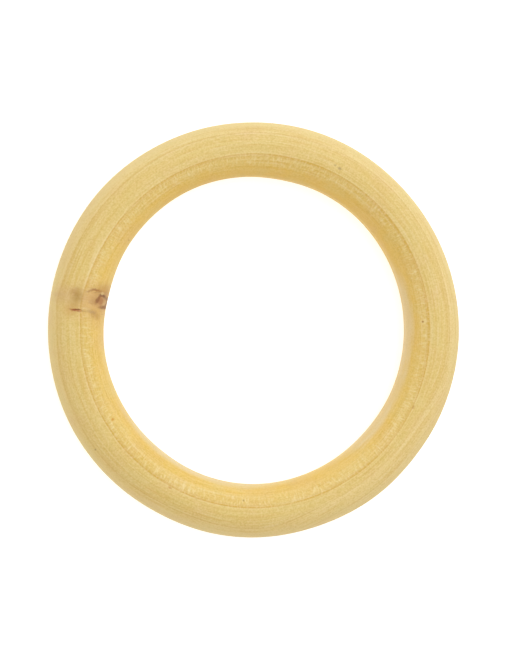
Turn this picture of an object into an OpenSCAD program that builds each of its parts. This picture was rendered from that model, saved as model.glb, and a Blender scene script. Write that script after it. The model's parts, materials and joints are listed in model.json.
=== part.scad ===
// Turned wooden grasping ring with the dead branch knot that sits in it.
// Millimetres. The ring lies flat on Z = 0, its axis is Z, and the origin is the
// middle of its underside.

/* [Ring] */
// Outer diameter of the ring
outer_d = 70; // [45:0.5:120]
// Diameter of the round section, as the rounding cutter leaves it
section_d = 9.3; // [6:0.1:16]
// Depth of the narrow flat that the bore cutter leaves round the hole
bore_flat = 0.1; // [0.02:0.01:0.4]
// Depth of the narrow flat left on the top and on the underside
face_flat = 0.05; // [0.02:0.01:0.4]

/* [Knot] */
// Direction of the branch, counted from +X towards +Y
knot_angle = 170.5; // [0:0.5:359]
// Length of the branch stub, from the hole's wall to its outer end
knot_len = 6.2; // [2:0.1:7]
// Diameter of the pocket round the stub where it opens into the hole
knot_root_d = 3.6; // [1:0.1:4]
// Diameter of the pocket at its outer end
knot_tip_d = 4.2; // [1.5:0.1:4.6]
// Depth of the stub's axis below the top of the ring, at the hole's wall
knot_root_depth = 2.1; // [1.5:0.1:4]
// Depth of the stub's axis below the top of the ring, at its outer end
knot_tip_depth = 0.7; // [0.3:0.1:1.4]
// Gap that the dried-out bark leaves round the stub
bark_gap = 0.05; // [0.02:0.01:0.2]

/* [Hidden] */
$fn = 180;

section_r = section_d / 2;
ring_r = outer_d / 2 - section_r;
ring_h = section_d - 2 * face_flat;
wall_r = ring_r - section_r + bore_flat;

knot_root_z = ring_h - knot_root_depth;
knot_rise = knot_root_depth - knot_tip_depth;
knot_slope = atan2(knot_rise, knot_len);
knot_axis_len = norm([knot_len, knot_rise]);
knot_taper = (knot_tip_d - knot_root_d) / 2 / knot_axis_len;
// The stub is made longer towards the hole, and the hole's wall trims it.
knot_overrun = 2;

// Round section, trimmed flat at the hole, on the top and on the underside.
module section() {
    translate([ring_r, ring_h / 2])
        intersection() {
            circle(r = section_r);
            translate([bore_flat - section_r, -ring_h / 2])
                square([section_d, ring_h]);
        }
}

module ring_blank() {
    rotate_extrude()
        section();
}

// Tapered branch, thinner towards the middle of the stem that it grew from.
module branch(gap) {
    rotate([0, 0, knot_angle])
        translate([wall_r, 0, knot_root_z])
            rotate([0, 90 - knot_slope, 0])
                translate([0, 0, -knot_overrun])
                    cylinder(
                        h = knot_axis_len + knot_overrun,
                        r1 = knot_root_d / 2 - knot_taper * knot_overrun - gap,
                        r2 = knot_tip_d / 2 - gap
                    );
}

module ring() {
    color("#E2C47A")
        difference() {
            ring_blank();
            branch(gap = 0);
        }
}

// The stub rests with its outer end on the bottom of the pocket.
module knot() {
    color("#A87548")
        intersection() {
            ring_blank();
            branch(gap = bark_gap);
        }
}

ring();
knot();
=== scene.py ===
# %% [markdown]
# # A turned wooden grasping ring
# The object is one ring of pale pine, about 70 mm across and 9 mm thick, turned from a
# cross-cut slice of a small stem and sanded by hand. A dead branch runs through it on
# one side and shows as a knot. The CAD frame gives two solids, the ring and the knot. Blender
# adds what makes it look like wood: the sanding marks, the growth rings, the fibres and rays,
# and the bark that is caught round the knot.

import json
import math

import bpy
import numpy as np
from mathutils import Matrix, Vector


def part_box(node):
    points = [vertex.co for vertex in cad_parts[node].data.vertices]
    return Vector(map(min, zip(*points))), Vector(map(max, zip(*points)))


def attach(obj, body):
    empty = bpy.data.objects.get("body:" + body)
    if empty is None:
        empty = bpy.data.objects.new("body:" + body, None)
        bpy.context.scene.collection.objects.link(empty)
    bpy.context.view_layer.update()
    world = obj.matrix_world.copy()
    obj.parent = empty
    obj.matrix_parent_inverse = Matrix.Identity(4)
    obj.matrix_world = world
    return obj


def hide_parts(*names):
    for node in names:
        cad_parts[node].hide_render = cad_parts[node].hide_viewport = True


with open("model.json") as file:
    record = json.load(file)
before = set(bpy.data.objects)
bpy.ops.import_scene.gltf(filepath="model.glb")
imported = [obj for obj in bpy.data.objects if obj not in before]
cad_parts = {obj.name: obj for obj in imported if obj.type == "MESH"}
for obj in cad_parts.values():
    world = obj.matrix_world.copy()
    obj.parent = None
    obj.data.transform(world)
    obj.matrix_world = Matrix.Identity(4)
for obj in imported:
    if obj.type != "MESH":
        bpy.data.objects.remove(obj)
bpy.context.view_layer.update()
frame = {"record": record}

# %% [markdown]
# ## Sizes
# The CAD model fixes every size. Its box gives the outer radius and the height, and the
# record's bore mount gives the radius and the length of the narrow flat inside the hole. The
# radius of the round section follows from those two, because the flat is a chord of it.
# Everything below is in millimetres, and a mesh is scaled to metres when it is made.

# %% Sizes of the ring, from the frame
MM = 0.001
ring_low, ring_high = (np.array(corner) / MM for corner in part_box("ring"))
outer_r = ring_high.max()
ring_h = ring_high[2] - ring_low[2]
bore = next(m for m in frame["record"]["mounts"] if m["name"] == "hole")["dims"]
wall = outer_r - bore["r_mm"]
bore_flat = (bore["length_mm"] / 2) ** 2 / wall
section_r = (wall + bore_flat) / 2
ring_r = outer_r - section_r
middle_z = ring_h / 2
print(f"outer radius {outer_r:.2f}, section radius {section_r:.3f}, height {ring_h:.2f}")

# %% Sizes of the knot, as the CAD model has them
knot_angle = math.radians(170.5)
knot_len = 6.2
knot_root_d, knot_tip_d = 3.6, 4.2
knot_root_depth, knot_tip_depth = 2.1, 0.7

# %% [markdown]
# ## Camera
# The ring lies on the floor and is seen from above, a little from its left, with a long
# lens from about 0.4 m. The camera comes first.

# %% Camera
CAMERA_TILT = math.radians(9.8)
CAMERA_DISTANCE = 411 * MM
LENS = 173.3
aim = np.array([-0.38, -0.034, middle_z]) * MM

camera_data = bpy.data.cameras.new("camera")
camera_data.lens = LENS
camera_data.sensor_width = 36
camera_data.sensor_fit = "HORIZONTAL"
camera = bpy.data.objects.new("camera", camera_data)
toward = np.array([-math.sin(CAMERA_TILT), 0, math.cos(CAMERA_TILT)])
camera.location = aim + toward * CAMERA_DISTANCE
camera.rotation_euler = (0, -CAMERA_TILT, 0)
bpy.context.collection.objects.link(camera)
bpy.context.scene.camera = camera
print("camera at", [round(c, 4) for c in camera.location])

# %% [markdown]
# ## The turned surface
# A place on the ring is given by two angles: `around` the ring, from +X towards +Y, and
# `across` the section, 0 at the outside, 90 degrees on top and 180 degrees in the hole. One
# function turns them into a point, so the ring, its pocket and the knot all share the same
# skin and stay flush. A lathe leaves a true round section. The sanding by hand does not: it
# leaves the skin up to two tenths of a millimetre inside or outside the turned one, and that
# is what keeps the outline from looking drawn with compasses.

# %% Sanding marks
def bell(angle, centre_deg, half_width_deg, power=2):
    """A soft bump of height 1 at an angle. A higher power gives it a flatter top."""
    away = (angle - math.radians(centre_deg) + math.pi) % (2 * math.pi) - math.pi
    return np.exp(-(np.abs(away / math.radians(half_width_deg)) ** power))


# (angle, half width, how far the outline stands out in mm) outside and in the hole
OUTSIDE_MARKS = [(358, 18, 0.10), (45, 14, -0.09), (92, 12, -0.07), (138, 16, 0.13), (206, 12, 0.07),
                 (241, 13, -0.13), (288, 14, -0.15), (321, 10, -0.11)]
HOLE_MARKS = [(48, 16, 0.08), (80, 10, -0.11), (117, 18, 0.11), (165, 11, -0.20), (193, 14, 0.09),
              (231, 9, -0.06), (268, 24, 0.20), (318, 13, -0.12)]


def sanding(around, across):
    """How far the hand-sanded skin stands outside the turned one."""
    outside = sum(height * bell(around, at, width) for at, width, height in OUTSIDE_MARKS)
    hole = sum(height * bell(around, at, width) for at, width, height in HOLE_MARKS)
    out = np.cos(across)
    return outside * np.maximum(out, 0) + hole * np.minimum(out, 0)


# %% [markdown]
# ## Growth rings
# The slice was cut across the stem, so each growth ring is nearly a cylinder round the pith,
# a little wider lower down because a stem tapers, and the pith is a little off the ring's
# own centre. `growth` gives the distance from the pith as the tree grew it, in millimetres,
# with the places where a ring grew narrower or wider. Both the relief in the mesh and the
# colours in the material use it, so the lines that are seen are the lines that are felt. On
# the wall of the hole the cut leaves some patches of the paler early wood of the ring
# before, and `pale_wood` says where.

# %% Growth of the stem
PITH = np.array([-0.56, -0.21])
STEM_TAPER = 0.12
# (angle, half width, shift in mm) of all the lines
LINE_WANDER = [(140, 26, 0.16), (171, 4.5, -0.30), (240, 3, 0.08), (293, 28, 0.17)]
# (angle, half width, shift in mm, power of the bell) of the outer lines only
SQUEEZED_OUTSIDE = [(245, 18, 0.5, 2), (311, 30, 2.05, 4)]
SQUEEZE_STARTS, SQUEEZE_FULL = 29.9, 31.4
# (angle, half width, share) of the pale early wood
PALE_AT_HOLE = [(5, 22, 0.9), (228, 20, 0.7), (256, 24, 0.9), (320, 16, 0.9), (348, 14, 0.3)]
PALE_FULL, PALE_ENDS = 26.0, 27.1


def smooth(low, high, x):
    """A soft step from 0 at low to 1 at high."""
    t = np.clip((x - low) / (high - low), 0, 1)
    return t * t * (3 - 2 * t)


def growth(points):
    """Distance from the pith in mm, as the tree grew it."""
    x, y = points[..., 0] - PITH[0], points[..., 1] - PITH[1]
    angle, far = np.arctan2(y, x), np.hypot(x, y)
    wander = sum(shift * bell(angle, at, width) for at, width, shift in LINE_WANDER)
    squeezed = sum(shift * bell(angle, at, width, power)
                   for at, width, shift, power in SQUEEZED_OUTSIDE)
    taper = STEM_TAPER * (points[..., 2] - ring_h)
    return far + taper + wander + squeezed * smooth(SQUEEZE_STARTS, SQUEEZE_FULL, far)


def pale_wood(points):
    """How much of the pale early wood is left on the wall of the hole."""
    x, y = points[..., 0], points[..., 1]
    angle, far = np.arctan2(y, x), np.hypot(x, y)
    pale = sum(share * bell(angle, at, width) for at, width, share in PALE_AT_HOLE)
    return np.clip(pale, 0, 1) * (1 - smooth(PALE_FULL, PALE_ENDS, far))


# %% Relief of the growth lines
# Each line is (distance from the pith, half width, depth) in mm: late wood is hard and
# stands, and the soft early wood next to it is sanded lower.
GROWTH_LINES = [(29.5, 0.10, -0.008), (29.74, 0.14, 0.006), (33.1, 0.10, -0.005), (35.4, 0.12, -0.004)]


def line_relief(grown):
    """How far the sanded skin stands out over each growth line."""
    return sum(-depth * np.exp(-(((grown - at) / width) ** 2)) for at, width, depth in GROWTH_LINES)


def skin(around, across, depth=0.0):
    """Points in mm on the sanded skin, or at a depth below it."""
    out, up = np.cos(across), np.sin(across)
    radial = np.maximum(section_r * out, bore_flat - section_r)
    height = middle_z + np.clip(section_r * up, -ring_h / 2, ring_h / 2)

    def stand_out(stand):
        far = ring_r + radial + stand * out
        return np.stack([far * np.cos(around), far * np.sin(around), height + stand * up], -1)

    turned = stand_out(0.0)
    return stand_out(sanding(around, across) + line_relief(growth(turned)) * np.abs(up) - depth)


probe = skin(np.radians([0.0, 90.0, 180.0, 270.0]), np.zeros(4))
print("outer radius at four places:", np.round(np.hypot(probe[:, 0], probe[:, 1]), 3))

# %% [markdown]
# ## The knot's outline
# The branch is a cone that points at the pith and climbs outwards, so the skin cuts it in a
# long oval. The oval is found the way a carver finds it with a pencil: from its middle,
# walk out in every direction until the branch ends. Walking towards the corners of a
# rectangle in the ring's own grid gives the oval as many points as the rectangle has, and
# the patch between the two is then all four-sided faces.

# %% The branch, and the grid that the patch has to meet
AROUND_STEPS, ACROSS_STEPS = 720, 132
knot_middle = (knot_angle, math.radians(117))
patch_columns = (328, 354)
patch_rows = (20, 65)

root_z = ring_h - knot_root_depth
climb = knot_root_depth - knot_tip_depth
axis_len = math.hypot(knot_len, climb)
branch_axis = np.array([knot_len, 0, climb]) / axis_len
branch_taper = (knot_tip_d - knot_root_d) / 2 / axis_len


def inside_branch(points):
    """Whether points in mm lie in the branch stub."""
    turn_c, turn_s = math.cos(knot_angle), math.sin(knot_angle)
    radial = points[..., 0] * turn_c + points[..., 1] * turn_s - bore["r_mm"]
    side = points[..., 1] * turn_c - points[..., 0] * turn_s
    from_root = np.stack([radial, side, points[..., 2] - root_z], -1)
    along = from_root @ branch_axis
    off_axis = np.sqrt(np.maximum((from_root**2).sum(-1) - along**2, 0))
    return (along < axis_len) & (off_axis < knot_root_d / 2 + branch_taper * along)


def rim_of_patch():
    """The grid's vertices round the patch, anticlockwise as seen from outside."""
    (left, right), (low, high) = patch_columns, patch_rows
    return ([(i, low) for i in range(left, right)] + [(right, j) for j in range(low, high)]
            + [(i, high) for i in range(right, left, -1)] + [(left, j) for j in range(high, low, -1)])


rim = rim_of_patch()
rim_around = np.array([i for i, j in rim]) * 2 * math.pi / AROUND_STEPS
rim_across = np.array([j for i, j in rim]) * 2 * math.pi / ACROSS_STEPS
reach_in, reach_out = np.zeros(len(rim)), np.ones(len(rim))
HALVINGS = 24
for _ in range(HALVINGS):
    reach = (reach_in + reach_out) / 2
    held = inside_branch(skin(knot_middle[0] + reach * (rim_around - knot_middle[0]),
                              knot_middle[1] + reach * (rim_across - knot_middle[1])))
    reach_in, reach_out = np.where(held, reach, reach_in), np.where(held, reach_out, reach)
oval_around = knot_middle[0] + reach_in * (rim_around - knot_middle[0])
oval_across = knot_middle[1] + reach_in * (rim_across - knot_middle[1])
oval = skin(oval_around, oval_across)
oval_deg = np.degrees(oval_across)
print(f"the knot's oval has {len(rim)} points, from {oval_deg.min():.0f} to {oval_deg.max():.0f}",
      "degrees across the section")

# %% [markdown]
# ## Bark
# A dead branch keeps its bark, and the tree grows over it. The bark dries and leaves a
# dark crack, but not all the way round: on the rest of the oval the wood has closed up and
# the knot only shows by its colour. `bark` says how open the crack is at each point of the
# oval: widest on a short dash at one side, less on an arc at the other side and in the hole,
# and closed across the outer tip of the oval.

# %% Where the bark is open
def window(degrees, low, high, soft=4):
    """1 between two angles in degrees, falling to 0 outside them."""
    return smooth(low - soft, low + soft, degrees) * (1 - smooth(high - soft, high + soft, degrees))


DASH, ARC, IN_HOLE = (76, 91), (112, 128), (140, 180)  # degrees across the section
TIP_HALF_WIDTH = 1.2
CRACK_W, CRACK_DEPTH, CLOSED_GAP = 0.09, 0.09, 0.006

oval_side = (oval_around - knot_angle) * np.hypot(oval[:, 0], oval[:, 1])
bark = np.where(oval_side > 0, 0.80 * window(oval_deg, *DASH, 2.5), 0.20 * window(oval_deg, *ARC))
bark = bark * (np.abs(oval_side) > TIP_HALF_WIDTH) + 0.22 * window(oval_deg, *IN_HOLE)
gap = CLOSED_GAP + CRACK_W * bark
print(f"bark is open on {(bark > 0.5).mean():.0%} of the oval")


# %% [markdown]
# ## Meshes
# Each piece is written down as angles and a depth for every vertex, and the faces between
# them. `Piece` collects those, turns them into points at the end, and stores on every vertex
# what the material needs to know: how the tree grew there, how much pale wood and bark is on
# it, and where it lies on the knot. That last place starts at the knot's inner end in the
# hole, and the underside of the ring is put well away from it, so that no stain lands there.

# %% A mesh in the ring's own coordinates
KNOT_STARTS = math.radians(165)
UNDERSIDE_AWAY = 3


class Piece:
    def __init__(self, name):
        self.name = name
        self.around, self.across, self.depth, self.bark = [], [], [], []
        self.faces, self.sharp = [], []

    def add(self, around, across, depth=0.0, bark=0.0):
        """Adds a row of vertices and returns their numbers."""
        first = len(self.around)
        values = np.broadcast_arrays(around, across, depth, bark)
        around, across, depth, bark = (value.ravel() for value in values)
        self.around.extend(around)
        self.across.extend(across)
        self.depth.extend(depth)
        self.bark.extend(bark)
        return np.arange(first, first + len(around))

    def bridge(self, outer, inner):
        """Four-sided faces between two closed rows, the outer one anticlockwise."""
        self.faces += np.stack([outer, np.roll(outer, -1), np.roll(inner, -1), inner], -1).tolist()

    def close(self, outer, tip):
        """Three-sided faces from a closed row to one vertex."""
        self.faces += np.stack([outer, np.roll(outer, -1), np.full(len(outer), tip)], -1).tolist()

    def make(self):
        around, across, depth = np.array(self.around), np.array(self.across), np.array(self.depth)
        points = skin(around, across, depth)
        mesh = bpy.data.meshes.new(self.name)
        mesh.from_pydata((points * MM).tolist(), [], self.faces)
        mesh.validate()
        turn = around - knot_angle
        far = np.hypot(points[:, 0], points[:, 1])
        underside = np.maximum(-np.sin(across), 0) * section_r
        on_knot = np.stack([(KNOT_STARTS - across) * section_r, far * np.sin(turn),
                            far * (1 - np.cos(turn)) + UNDERSIDE_AWAY * underside], -1)
        of_vertex = {"growth": growth(points), "pale": pale_wood(points), "bark": self.bark}
        for name, values in of_vertex.items():
            mesh.attributes.new(name, "FLOAT", "POINT").data.foreach_set("value", values)
        places = mesh.attributes.new("on_knot", "FLOAT_VECTOR", "POINT")
        places.data.foreach_set("vector", on_knot.ravel())
        mesh.shade_smooth()
        edge_of = {tuple(sorted(e.vertices)): e for e in mesh.edges}
        for a, b in self.sharp:
            edge_of[tuple(sorted((a, b)))].use_edge_sharp = True
        mesh.update()
        made = bpy.data.objects.new(self.name, mesh)
        bpy.context.collection.objects.link(made)
        print(f"{self.name}: {len(mesh.vertices)} vertices, {len(mesh.polygons)} faces")
        return made


# %% Rows that both pieces need
def toward_middle(share):
    """Angles of the oval drawn in towards the knot's middle, 1 being the oval itself."""
    return (knot_middle[0] + share * (oval_around - knot_middle[0]),
            knot_middle[1] + share * (oval_across - knot_middle[1]))


middle_point = skin(*map(np.array, knot_middle))
oval_size = np.linalg.norm(oval - middle_point, axis=-1)
BOWL_STEPS = 10
STUB_DEPTH, GAP_BELOW = 2.9, 0.05


def bowl(piece, rim_row, share, depth, downward):
    """The hidden underside of the branch, from the oval down to its lowest point."""
    rows = [rim_row]
    for step in range(1, BOWL_STEPS):
        turn = math.pi / 2 * step / BOWL_STEPS
        rows.append(piece.add(*toward_middle(share * math.cos(turn)), depth * math.sin(turn), 1.0))
    tip = piece.add(*map(np.array, knot_middle), depth, 1.0)[0]
    for outer, inner in zip(rows, rows[1:]):
        piece.bridge(*((inner, outer) if downward else (outer, inner)))
    piece.close(rows[-1][::-1] if downward else rows[-1], tip)


# %% [markdown]
# ## The ring
# The ring is a grid, 720 steps round and 132 across, which is a vertex about every quarter
# of a millimetre. That is fine enough for the sanding marks. The growth lines are narrower,
# so the grid catches only part of their low relief, and the colour has to carry the rest.
# The patch round the knot is left out of the grid and filled with rows that close in
# on the oval, closer together near it, where the crack has its rounded lip. From the oval
# the pocket goes down round the branch.

# %% Grid of the ring
ring_piece = Piece("ring_body")
numbers = np.full((AROUND_STEPS, ACROSS_STEPS), -1)
columns, rows = np.meshgrid(np.arange(AROUND_STEPS), np.arange(ACROSS_STEPS), indexing="ij")
in_patch = ((columns > patch_columns[0]) & (columns < patch_columns[1])
            & (rows > patch_rows[0]) & (rows < patch_rows[1]))
numbers[~in_patch] = ring_piece.add(columns[~in_patch] * 2 * math.pi / AROUND_STEPS,
                                    rows[~in_patch] * 2 * math.pi / ACROSS_STEPS)
cells = np.stack([numbers, np.roll(numbers, -1, 0), np.roll(np.roll(numbers, -1, 0), -1, 1),
                  np.roll(numbers, -1, 1)], -1)
cell_in_patch = ((columns >= patch_columns[0]) & (columns < patch_columns[1])
                 & (rows >= patch_rows[0]) & (rows < patch_rows[1]))
ring_piece.faces += cells[~cell_in_patch].tolist()

# %% Patch and pocket of the ring
LIP_STEPS, LIP_CROWDING = 11, 1.9
outer_row = np.array([numbers[i, j] for i, j in rim])
rim_points = skin(rim_around, rim_across)
rim_size = np.linalg.norm(rim_points - oval, axis=-1)
for step in range(LIP_STEPS - 1, -1, -1):
    share = (step / LIP_STEPS) ** LIP_CROWDING
    lip = bark * np.exp(-((share * rim_size / CRACK_W) ** 2))
    row = ring_piece.add(oval_around + share * (rim_around - oval_around),
                         oval_across + share * (rim_across - oval_across), CRACK_DEPTH * lip, lip)
    ring_piece.bridge(outer_row, row)
    outer_row = row
ring_piece.sharp += list(zip(outer_row, np.roll(outer_row, -1)))
bowl(ring_piece, outer_row, 1.0, STUB_DEPTH, downward=False)
ring_body = ring_piece.make()

# %% [markdown]
# ## The knot
# The stub fills the pocket. Its top is the same skin as the ring's, drawn in by the width of
# the crack, with the same rounded lip, and its underside is the same bowl, a little smaller.

# %% The knot
knot_piece = Piece("knot_stub")
own_share = 1 - gap / oval_size
TOP_STEPS, TOP_CROWDING = 26, 1.6
rows_of_top = []
for step in range(TOP_STEPS):
    share = own_share * (1 - (step / TOP_STEPS) ** TOP_CROWDING)
    lip = bark * np.exp(-((((1 - share) * oval_size - gap) / CRACK_W) ** 2))
    rows_of_top.append(knot_piece.add(*toward_middle(share), CRACK_DEPTH * lip, lip))
top_tip = knot_piece.add(*map(np.array, knot_middle))[0]
for outer, inner in zip(rows_of_top, rows_of_top[1:]):
    knot_piece.bridge(outer, inner)
knot_piece.close(rows_of_top[-1], top_tip)
knot_piece.sharp += list(zip(rows_of_top[0], np.roll(rows_of_top[0], -1)))
bowl(knot_piece, rows_of_top[0], own_share, STUB_DEPTH - GAP_BELOW, downward=True)
knot_stub = knot_piece.make()

# %% [markdown]
# ## Colours
# Colours are written as the hex values of a paint chart, which are sRGB, and Blender wants
# them linear.

# %% Helpers for materials
def hex_colour(text):
    """An sRGB hex value as linear red, green, blue and alpha."""
    parts = [int(text[i:i + 2], 16) / 255 for i in (1, 3, 5)]
    return [p / 12.92 if p <= 0.04045 else ((p + 0.055) / 1.055) ** 2.4 for p in parts] + [1.0]


def add(tree, kind, inputs=None, out=0, **settings):
    """Adds a node with its settings, sets or links its inputs, and returns one output."""
    made = tree.nodes.new("ShaderNode" + kind)
    for name, value in settings.items():
        setattr(made, name, value)
    for name, value in (inputs or {}).items():
        if isinstance(value, bpy.types.NodeSocket):
            tree.links.new(value, made.inputs[name])
        else:
            made.inputs[name].default_value = value
    return made.outputs[out]


# %% [markdown]
# ## Raw pine
# The ring is turned pine, sanded and left raw. Raw wood has no film on it, so it is nearly
# matt, with a faint satin where the sanded fibres lie flat. Its pattern has real sizes: late
# wood lines about 3.5 mm apart, streaks a fifth of a millimetre wide between them, and fibre
# ends and rays a little over a quarter of a millimetre wide. The material works in the
# stem's own directions: how far it grew, round the pith, and up the stem. The real fibres
# are finer still, about 0.03 mm, and are drawn coarser here so that they show.

# %% Directions of the stem in a material
def stem_directions(tree):
    """Sockets for the place in mm, the heading from the pith, the distance grown and the height."""
    metres = add(tree, "TexCoord", out="Object")
    place = add(tree, "VectorMath", {0: metres, 3: 1 / MM}, operation="SCALE")
    from_pith = add(tree, "VectorMath", {0: place, 1: (*PITH, 0)}, operation="SUBTRACT")
    level = add(tree, "VectorMath", {0: from_pith, 1: (1, 1, 0)}, operation="MULTIPLY")
    heading = add(tree, "VectorMath", {0: level}, operation="NORMALIZE")
    grown = add(tree, "Attribute", out="Fac", attribute_name="growth")
    height = add(tree, "SeparateXYZ", {0: place}, out="Z")
    return {"place": place, "heading": heading, "grown": grown, "height": height}


def grain(tree, stem, round_mm, out_mm, up_mm, detail=2.0, roughness=0.55):
    """Noise drawn out along the stem's directions, with its size in mm in each of them."""
    circle = add(tree, "VectorMath", {0: stem["heading"], 3: ring_r / round_mm}, operation="SCALE")
    steps = add(tree, "Math", {0: stem["grown"], 1: out_mm}, operation="DIVIDE")
    outwards = add(tree, "CombineXYZ", {"Z": steps})
    where = add(tree, "VectorMath", {0: circle, 1: outwards}, operation="ADD")
    up = add(tree, "Math", {0: stem["height"], 1: up_mm}, operation="DIVIDE")
    return add(tree, "TexNoise", {"Vector": where, "W": up, "Scale": 1.0, "Detail": detail,
                                  "Roughness": roughness}, noise_dimensions="4D")


def lay_over(tree, wood, pattern, start, full, strength, colour):
    """Lays a colour over the wood, from where a pattern starts to where it covers most."""
    share = add(tree, "MapRange", {0: pattern, 1: start, 2: full, 4: strength})
    return add(tree, "Mix", {0: share, 6: wood, 7: hex_colour(colour)}, out=2, data_type="RGBA")


# %% Colours and strengths across the growth rings
GROWTH_COLOURS = [
    (24.0, "#EDD08A"), (25.4, "#ECCC7E"), (26.3, "#EBC566"), (27.3, "#EAC568"),
    (28.3, "#E6C46E"), (28.9, "#E2C069"), (29.05, "#E0BE6B"), (29.13, "#DCB764"), (29.21, "#E0BE6B"),
    (29.38, "#DBB45C"), (29.48, "#D4A743"), (29.58, "#DCB864"), (29.70, "#E9D08C"), (29.84, "#E4C77C"),
    (30.2, "#E0C376"), (31.6, "#E2C578"), (32.94, "#E4C780"), (33.06, "#DBB86A"), (33.18, "#E8CC87"),
    (35.25, "#EACF8B"), (35.38, "#E1C17B"), (35.5, "#EACF8B"), (38.0, "#EACF8B"),
]
RAYS_SHOW = [
    (27.2, "#000000"), (27.9, "#B0B0B0"), (28.9, "#D8D8D8"), (29.4, "#808080"),
    (29.6, "#484848"), (31.0, "#484848"), (32.5, "#000000"),
]


def by_growth(tree, stem, stops):
    """A colour or a grey for each distance from the pith, from a list of (mm, hex)."""
    first, last = stops[0][0], stops[-1][0]
    share = add(tree, "MapRange", {0: stem["grown"], 1: first, 2: last})
    colour = add(tree, "ValToRGB", {0: share})
    ramp = colour.node.color_ramp
    while len(ramp.elements) < len(stops):
        ramp.elements.new(0.5)
    for element, (grown_mm, text) in zip(ramp.elements, stops):
        element.position = (grown_mm - first) / (last - first)
        element.color = hex_colour(text)
    return colour


# %% The fibres, streaks and rays of pine
# A pattern of noise runs from 0 to 1, mostly between its troughs and its crests.
TROUGH, MIDDLE, CREST = 0.25, 0.50, 0.75
# Heights from the middle, in shares of the section's radius: side grain below, end grain above
SIDE_GRAIN, END_GRAIN = 0.40, 0.85
LEAST_END_GRAIN = 0.12
DEEP, PALE = "#CFA338", "#F2DDB2"
FIBRE_SHADE, FIBRE_SHINE = "#C6A443", "#F2D8A8"


def pine_pattern(tree, stem):
    """The colour of the sanded pine, and its fine relief."""
    wood = by_growth(tree, stem, GROWTH_COLOURS)
    level = add(tree, "Math", {0: stem["height"], 1: middle_z}, operation="SUBTRACT")
    level = add(tree, "Math", {0: level}, operation="ABSOLUTE")
    end_grain = add(tree, "MapRange", {0: level, 1: SIDE_GRAIN * section_r, 2: END_GRAIN * section_r,
                                       3: LEAST_END_GRAIN})

    clouds = add(tree, "TexNoise", {"Vector": stem["place"], "Scale": 0.22, "Detail": 2.0})
    bands = grain(tree, stem, round_mm=22, out_mm=0.8, up_mm=30)
    wood = lay_over(tree, wood, clouds, MIDDLE, CREST, 0.35, "#E3BC82")
    wood = lay_over(tree, wood, clouds, MIDDLE, TROUGH, 0.35, "#DFCB86")
    wood = lay_over(tree, wood, bands, MIDDLE, CREST, 0.20, DEEP)
    wood = lay_over(tree, wood, bands, MIDDLE, TROUGH, 0.12, PALE)

    pale = add(tree, "Attribute", out="Fac", attribute_name="pale")
    ragged = grain(tree, stem, round_mm=6, out_mm=0.7, up_mm=2.4, detail=3)
    pale = add(tree, "Math", {0: pale, 1: 0.8, 2: ragged}, operation="MULTIPLY_ADD")
    wood = lay_over(tree, wood, pale, 0.62, 1.20, 0.72, "#EAD4A6")

    streaks = grain(tree, stem, round_mm=9, out_mm=0.20, up_mm=14, detail=2)
    deep_share = add(tree, "Math", {0: end_grain, 1: 0.38}, operation="MULTIPLY")
    pale_share = add(tree, "Math", {0: end_grain, 1: 0.32}, operation="MULTIPLY")
    wood = lay_over(tree, wood, streaks, MIDDLE, CREST, deep_share, DEEP)
    wood = lay_over(tree, wood, streaks, MIDDLE, TROUGH, pale_share, PALE)

    resin = grain(tree, stem, round_mm=5, out_mm=0.26, up_mm=8, detail=2)
    resin_share = add(tree, "Math", {0: end_grain, 1: 0.30}, operation="MULTIPLY")
    wood = lay_over(tree, wood, resin, 0.56, 0.74, resin_share, "#D6A23C")

    fibre_ends = add(tree, "TexNoise", {"Vector": stem["place"], "Scale": 3.4, "Detail": 1.0})
    shade_share = add(tree, "Math", {0: end_grain, 1: 0.22, 2: 0.12}, operation="MULTIPLY_ADD")
    wood = lay_over(tree, wood, fibre_ends, MIDDLE, CREST, shade_share, FIBRE_SHADE)
    wood = lay_over(tree, wood, fibre_ends, MIDDLE, TROUGH, shade_share, FIBRE_SHINE)

    rays = grain(tree, stem, round_mm=0.28, out_mm=1.0, up_mm=0.9, detail=1)
    rays_show = by_growth(tree, stem, RAYS_SHOW)
    ray_share = add(tree, "Math", {0: rays_show, 1: end_grain}, operation="MULTIPLY")
    wood = lay_over(tree, wood, rays, 0.49, 0.71, ray_share, "#F1DCA3")

    relief = add(tree, "Math", {0: rays, 1: 0.4, 2: fibre_ends}, operation="MULTIPLY_ADD")
    relief = add(tree, "Math", {0: streaks, 1: 0.8, 2: relief}, operation="MULTIPLY_ADD")
    return wood, relief


# %% [markdown]
# ## Stains of the knot
# Resin and bark from the dead branch have stained the wood round it: a pink flush, a brown
# shadow outwards of it, a dark heart where the branch's own pith is, and thin dark lines
# where bark is caught. Each is an oval with a soft or a crisp edge, laid over the wood in
# order, and a little noise in the place keeps any of them from being a true oval. The
# places are in millimetres: outwards along the skin from the inner end of the knot, and
# beside its middle line. The ring and the knot both get them, because the stains cross
# the joint.

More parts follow.
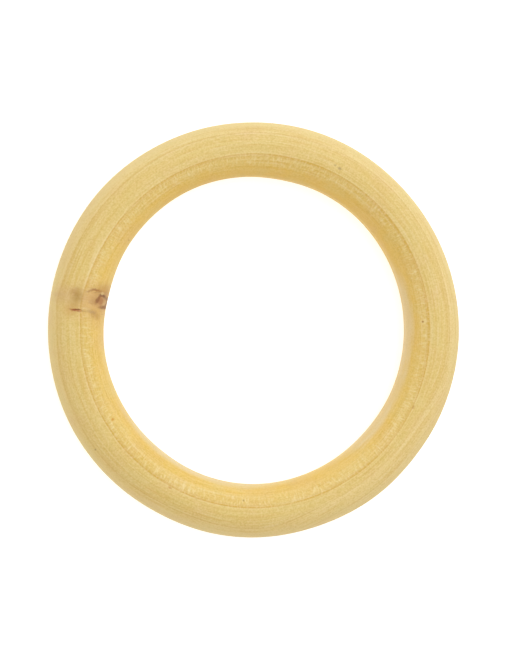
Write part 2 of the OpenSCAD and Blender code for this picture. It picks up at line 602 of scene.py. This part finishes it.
# %% The stains
STAINS = [  # ((outwards, beside), half sizes, turn in degrees, edge, strength, colour)
    ((2.8, 0.1), (4.2, 2.9), 0, 0.9, 0.45, "#D4A570"),
    ((8.8, -0.2), (2.6, 1.3), 0, 0.9, 0.40, "#D2A878"),
    ((10.6, -0.2), (1.3, 0.25), 0, 0.9, 0.20, "#C89E72"),
    ((2.0, -2.2), (1.9, 0.9), 0, 0.8, 0.45, "#B98345"),
    ((3.2, 2.1), (1.0, 0.6), -20, 0.8, 0.42, "#AD7A44"),
    ((4.2, 1.8), (0.9, 0.2), 0, 0.8, 0.40, "#A98562"),
    ((6.9, 0.1), (0.8, 1.8), -8, 0.95, 0.42, "#B08A38"),
    ((6.75, -0.55), (0.6, 0.8), 25, 0.95, 0.42, "#A27A30"),
    ((7.6, -1.1), (0.6, 0.6), 0, 0.95, 0.30, "#B07A40"),
    ((4.3, -0.6), (1.3, 1.3), 0, 0.7, 0.25, "#CF9E6C"),
    ((3.9, 0.1), (0.6, 0.4), 0, 0.9, 0.35, "#B08050"),
    ((1.6, -0.4), (2.4, 1.35), 0, 0.6, 0.60, "#B6865A"),
    ((1.25, 0.62), (1.3, 0.28), 4, 0.5, 0.72, "#8A5432"),
    ((0.40, 0.05), (0.45, 0.80), 0, 0.6, 0.55, "#825A40"),
    ((1.35, 0.05), (0.80, 0.22), 38, 0.5, 0.85, "#D0AC74"),
    ((3.05, -0.55), (0.34, 0.85), -28, 0.6, 0.66, "#844C2E"),
    ((2.15, -1.15), (0.8, 0.24), -6, 0.6, 0.78, "#744630"),
    ((0.3, -0.85), (1.0, 0.26), 0, 0.6, 0.60, "#805C40"),
    ((2.35, -0.20), (0.55, 0.6), 0, 0.6, 0.60, "#AC7048"),
    ((2.4, -1.50), (0.36, 0.26), 20, 0.5, 0.90, "#DABB80"),
    ((3.75, -1.94), (1.0, 0.22), -4, 0.7, 0.62, "#9A5E34"),
    ((4.75, -1.70), (0.7, 0.20), 20, 0.7, 0.52, "#A0663A"),
    ((5.55, 1.84), (0.3, 0.14), 0, 0.7, 0.35, "#96562E"),
    ((7.8, 2.1), (0.9, 0.9), 0, 0.9, 0.32, "#CF9448"),
    ((6.75, 1.90), (0.85, 0.24), 3, 0.55, 0.72, "#A0482A"),
]


def stain(tree, wood, place, centre, half_size, turn, edge, strength, colour):
    """An oval stain, with the width of its edge as a share of its size."""
    oval = add(tree, "Mapping", {"Vector": place, "Location": centre, "Scale": half_size,
                                 "Rotation": (0, 0, math.radians(turn))}, vector_type="TEXTURE")
    reach = add(tree, "VectorMath", {0: oval}, out="Value", operation="LENGTH")
    share = add(tree, "MapRange", {0: reach, 1: 1 + edge, 2: 1 - edge, 4: strength},
                interpolation_type="SMOOTHSTEP")
    return add(tree, "Mix", {0: share, 6: wood, 7: hex_colour(colour)}, out=2, data_type="RGBA")


def knot_stains(tree, wood):
    """All the stains, in places that wander a little."""
    place = add(tree, "Attribute", out="Vector", attribute_name="on_knot")
    wander = add(tree, "TexNoise", {"Vector": place, "Scale": 1.4, "Detail": 3.0}, out="Color")
    wander = add(tree, "VectorMath", {0: wander, 1: (0.5, 0.5, 0.5)}, operation="SUBTRACT")
    place = add(tree, "VectorMath", {0: wander, 1: (1.0, 0.6, 0), 2: place}, operation="MULTIPLY_ADD")
    for (outwards, beside), (length, width), turn, edge, strength, colour in STAINS:
        centre, half_size = (outwards, beside, 0), (length, width, 1)
        wood = stain(tree, wood, place, centre, half_size, turn, edge, strength, colour)
    bark_share = add(tree, "Attribute", out="Fac", attribute_name="bark")
    return lay_over(tree, wood, bark_share, 0.1, 0.9, 0.35, "#8A4426")


# %% Specks in the ring
SPECK_EDGE, SPECK_DEPTH = 0.6, 0.3
SPECKS = [  # (degrees around, degrees across, half sizes out and round in mm, strength, colour)
    (63.5, 92, (0.22, 0.30), 0.55, "#A07C4E"),
    (65.2, 90, (0.14, 0.18), 0.45, "#A8824C"),
    (2.8, 121, (0.16, 0.16), 0.80, "#A8702A"),
    (210.9, 110, (0.28, 0.20), 0.75, "#D2902E"),
    (239.8, 91.5, (0.16, 0.30), 0.60, "#C88A30"),
    (264.4, 113, (0.15, 0.15), 0.50, "#9A7440"),
    (215.8, 42, (0.14, 0.14), 0.60, "#9C7C4C"),
    (333.5, 104, (0.14, 0.30), 0.60, "#B98434"),
    (145.7, 148.6, (0.40, 0.14), 0.45, "#C08E40"),
]


def specks(tree, wood, place):
    """The few small resin spots and torn fibres that catch the eye."""
    for around_deg, across_deg, (out_mm, round_mm), strength, colour in SPECKS:
        centre = skin(*np.radians([[around_deg], [across_deg]]))[0]
        half_size = (out_mm, round_mm, SPECK_DEPTH)
        wood = stain(tree, wood, place, centre, half_size, around_deg, SPECK_EDGE, strength, colour)
    return wood


# %% [markdown]
# ## The two woods
# The ring and the knot are both pine, but not the same wood. The ring shows the end grain of
# the stem. The knot is the side of a dead branch: harder, browner, with its own fibres
# running outwards, and a little more satin after sanding because the resin in it takes a
# polish.

# %% Finishing a wood
FIBRE_RELIEF = 0.03 * MM
RELIEF_LOW, RELIEF_HIGH = 0.6, 1.6
ROUGH_IN_HOLLOWS, ROUGH_ON_FIBRES = 0.70, 0.54


def finish_wood(material, wood, relief):
    """Gives a raw sanded wood its colour, its fine relief and its roughness."""
    tree = material.node_tree
    shader = tree.nodes["Principled BSDF"]
    tree.links.new(wood, shader.inputs["Base Color"])
    bump = add(tree, "Bump", {"Strength": 0.5, "Distance": FIBRE_RELIEF, "Height": relief})
    tree.links.new(bump, shader.inputs["Normal"])
    rough = add(tree, "MapRange", {0: relief, 1: RELIEF_LOW, 2: RELIEF_HIGH,
                                   3: ROUGH_IN_HOLLOWS, 4: ROUGH_ON_FIBRES})
    tree.links.new(rough, shader.inputs["Roughness"])
    shader.inputs["IOR"].default_value = 1.5
    shader.inputs["Specular IOR Level"].default_value = 0.3


def raw_pine():
    material = bpy.data.materials.new("raw_sanded_pine")
    material.use_nodes = True
    tree = material.node_tree
    stem = stem_directions(tree)
    wood, relief = pine_pattern(tree, stem)
    wood = knot_stains(tree, specks(tree, wood, stem["place"]))
    finish_wood(material, wood, relief)
    return material


def dead_branch_wood():
    material = bpy.data.materials.new("dead_branch_pine")
    material.use_nodes = True
    tree = material.node_tree
    stem = stem_directions(tree)
    wood, relief = pine_pattern(tree, stem)
    place = add(tree, "Attribute", out="Vector", attribute_name="on_knot")
    drawn_out = add(tree, "VectorMath", {0: place, 1: (0.5, 4.0, 1.0)}, operation="MULTIPLY")
    fibres = add(tree, "TexNoise", {"Vector": drawn_out, "Scale": 1.0, "Detail": 3.0})
    wood = lay_over(tree, wood, fibres, 0.45, 0.70, 0.35, "#C2904F")
    wood = lay_over(tree, wood, fibres, MIDDLE, TROUGH, 0.25, "#EBCB98")
    relief = add(tree, "Math", {0: fibres, 1: 0.6, 2: relief}, operation="MULTIPLY_ADD")
    finish_wood(material, knot_stains(tree, wood), relief)
    return material


woods = {"ring_wood": raw_pine(), "knot_wood": dead_branch_wood()}
for piece, node, slot in ((ring_body, "ring", "ring_wood"), (knot_stub, "knot", "knot_wood")):
    piece.data.materials.append(woods[slot])
    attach(piece, "root")
    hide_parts(node)
    print(f"{piece.name} is {woods[slot].name}")

# %% [markdown]
# ## Floor and light
# The ring lies on a lit white table, which is how small things are shown without a shadow.
# The table is a plain pale sheet that gives off light of its own, and it touches the lowest
# points of the ring. One wide soft lamp hangs overhead. Another stands beyond the top of the
# ring on the right, and is a little cooler, like daylight. The pale room gives the rest:
# lighter and cooler towards the top, dimmer and warmer towards the bottom.

# %% Floor
lowest = min(vertex.co.z for vertex in ring_body.data.vertices)
bpy.ops.mesh.primitive_plane_add(size=3.0, location=(0, 0, lowest))
floor = bpy.context.object
floor.name = "light_table"
table = bpy.data.materials.new("white_acrylic_table")
table.use_nodes = True
table_shader = table.node_tree.nodes["Principled BSDF"]
table_shader.inputs["Base Color"].default_value = hex_colour("#D8D8D6")
table_shader.inputs["Roughness"].default_value = 0.6
table_shader.inputs["Emission Color"].default_value = hex_colour("#FFFFFF")
table_shader.inputs["Emission Strength"].default_value = 0.62
floor.data.materials.append(table)

# %% Lights
def soft_lamp(name, place, size, watts, colour):
    """A square area lamp, its width in metres, aimed at the middle of the ring."""
    data = bpy.data.lights.new(name, "AREA")
    data.size = size
    data.energy = watts
    data.color = hex_colour(colour)[:3]
    lamp = bpy.data.objects.new(name, data)
    lamp.location = place
    lamp.rotation_euler = lamp.location.to_track_quat("Z", "Y").to_euler()
    bpy.context.collection.objects.link(lamp)
    return lamp


soft_lamp("sky_lamp", (0.48, 0.58, 0.70), 0.8, 3.0, "#E8F2FF")
soft_lamp("overhead_lamp", (0.0, 0.0, 1.0), 1.2, 6.3, "#FFFFFF")

WARM_SIDE, COOL_SIDE = "#FFF8E8", "#F6FAFF"
DIM_SIDE, LIGHT_SIDE = 0.30, 0.62
world = bpy.data.worlds.new("studio")
bpy.context.scene.world = world
world.use_nodes = True
room = world.node_tree
heading = add(room, "TexCoord", out="Generated")
toward_top = add(room, "SeparateXYZ", {0: heading}, out="Y")
room_light = add(room, "MapRange", {0: toward_top, 1: -1.0, 3: DIM_SIDE, 4: LIGHT_SIDE})
room_share = add(room, "MapRange", {0: toward_top, 1: -1.0})
room_colour = add(room, "Mix", {0: room_share, 6: hex_colour(WARM_SIDE), 7: hex_colour(COOL_SIDE)},
                  out=2, data_type="RGBA")
room.links.new(room_light, room.nodes["Background"].inputs["Strength"])
room.links.new(room_colour, room.nodes["Background"].inputs["Color"])
bpy.context.scene.view_settings.view_transform = "Standard"
